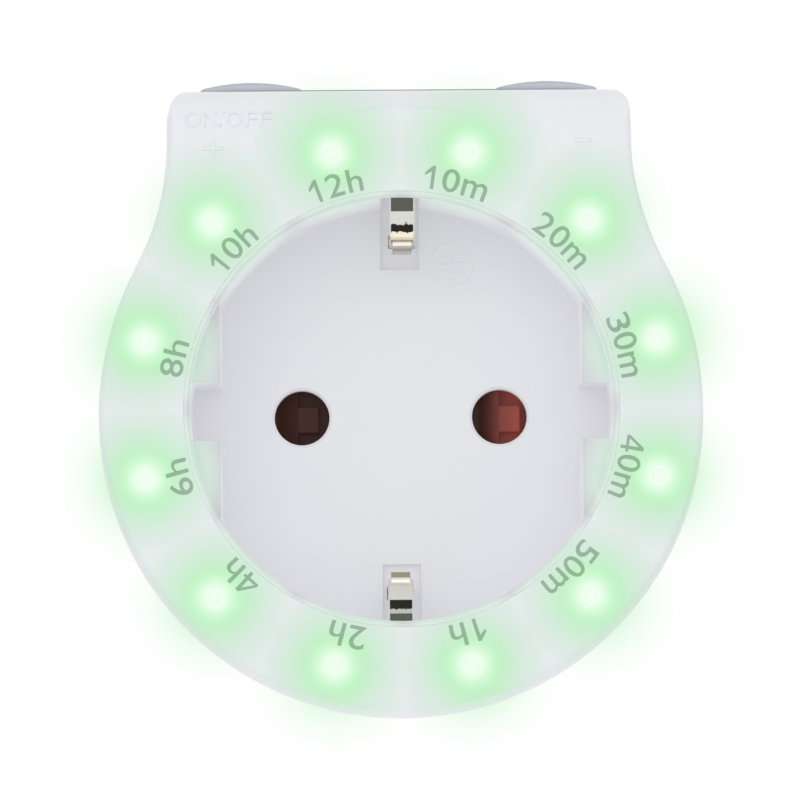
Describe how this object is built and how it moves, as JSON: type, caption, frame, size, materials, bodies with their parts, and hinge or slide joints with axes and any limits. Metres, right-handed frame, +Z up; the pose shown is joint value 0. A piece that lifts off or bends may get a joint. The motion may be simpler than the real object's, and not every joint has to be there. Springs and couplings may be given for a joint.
{
  "type": "plug-in timer switch",
  "caption": "Plug-in timer switch: a mains plug nose on the back, a shuttered socket in a round front ringed by indicator lamps, and push buttons in a square head.",
  "frame": {"origin": "middle of the plug nose's end face, halfway between the plug pins", "axes": "+Y along the plug pins, away from the front ring; +Z up to the buttons; +X to the right seen from the front"},
  "size_m": [0.058, 0.079, 0.061],
  "materials": {
    "white_case": "white moulded plastic with a fine satin grain",
    "white_insert": "white moulded plastic, satin",
    "clear_guide": "clear moulded plastic",
    "lamp": "milky resin, glows green when lit",
    "board": "green solder mask on glass fibre",
    "silver_trim": "silver-grey moulded plastic",
    "silver_button": "satin silver-grey plastic",
    "black_plastic": "black moulded plastic",
    "chip": "black moulded resin",
    "tinned_brass": "tinned, bright",
    "grey_cable": "grey cable insulation",
    "cream_plastic": "cream heat-resistant plastic",
    "red_shutter": "dark red moulded plastic",
    "spring_steel": "bright spring wire",
    "contact_brass": "stamped brass",
    "nickel_plate": "nickel plate on brass",
    "relay_case": "blue sealed case",
    "yellow_case": "yellow plastic case",
    "dark_sleeve": "dark shrink sleeve",
    "blue_coating": "blue dipped coating",
    "resistor_body": "pale blue lacquer",
    "screw_steel": "zinc-plated steel"
  },
  "bodies": {
    "housing": {"front_cover": "white_case", "rear_housing": "white_case", "socket_insert": "white_insert", "light_guide": "clear_guide", "led_10m": "lamp", "led_20m": "lamp", "led_30m": "lamp", "led_40m": "lamp", "led_50m": "lamp", "led_1h": "lamp", "led_2h": "lamp", "led_4h": "lamp", "led_6h": "lamp", "led_8h": "lamp", "led_10h": "lamp", "led_12h": "lamp", "led_board": "board", "button_panel": "silver_trim", "tact_switch_left": "black_plastic", "tact_switch_right": "black_plastic", "button_board": "board", "microcontroller": "chip", "link_pins": "tinned_brass", "ribbon_cable": "grey_cable", "ribbon_connector": "cream_plastic", "shutter_spring": "spring_steel", "contact_carrier": "cream_plastic", "line_contact": "contact_brass", "neutral_contact": "contact_brass", "plug_pin_line": "nickel_plate", "plug_pin_neutral": "nickel_plate", "pin_retainer": "cream_plastic", "line_inlet_bar": "contact_brass", "neutral_bar": "contact_brass", "plug_earth_strip_top": "nickel_plate", "plug_earth_strip_bottom": "nickel_plate", "earth_strap": "contact_brass", "power_board": "board", "relay": "relay_case", "film_capacitor": "yellow_case", "electrolytic_capacitor": "dark_sleeve", "varistor": "blue_coating", "fuse": "dark_sleeve", "bridge_rectifier": "chip", "dropper_resistor": "resistor_body", "driver_transistor": "chip", "housing_screws": "screw_steel", "led_board_screws": "screw_steel", "carrier_screws": "screw_steel", "power_board_screws": "screw_steel"},
    "power_button": {"on_off_button": "silver_button", "tact_plunger_left": "black_plastic"},
    "minus_button_group": {"minus_button": "silver_button", "tact_plunger_right": "black_plastic"},
    "shutter": {"shutter_slider": "red_shutter"},
    "clip_top": {"earth_clip_top": "nickel_plate"},
    "clip_bottom": {"earth_clip_bottom": "nickel_plate"}
  },
  "joints": [
    {"name": "on_off_press", "type": "slide", "parent": "housing", "child": "power_button", "axis": [0, 0, -1], "range_m": [0, 0.0005], "stiffness_N_per_m": 3000, "springref_m": -0.0002},
    {"name": "minus_press", "type": "slide", "parent": "housing", "child": "minus_button_group", "axis": [0, 0, -1], "range_m": [0, 0.0005], "stiffness_N_per_m": 3000, "springref_m": -0.0002},
    {"name": "shutter_slide", "type": "slide", "parent": "housing", "child": "shutter", "axis": [1, 0, 0], "range_m": [0, 0.0056], "stiffness_N_per_m": 150, "springref_m": -0.001, "deforming": ["shutter_spring"]},
    {"name": "clip_top_flex", "type": "hinge", "parent": "housing", "child": "clip_top", "pos_m": [0, -0.038, 0.0166], "axis": [-1, 0, 0], "range_deg": [0, 4.5], "stiffness_Nm_per_rad": 1.5},
    {"name": "clip_bottom_flex", "type": "hinge", "parent": "housing", "child": "clip_bottom", "pos_m": [0, -0.038, -0.0166], "axis": [1, 0, 0], "range_deg": [0, 4.5], "stiffness_Nm_per_rad": 1.5}
  ]
}
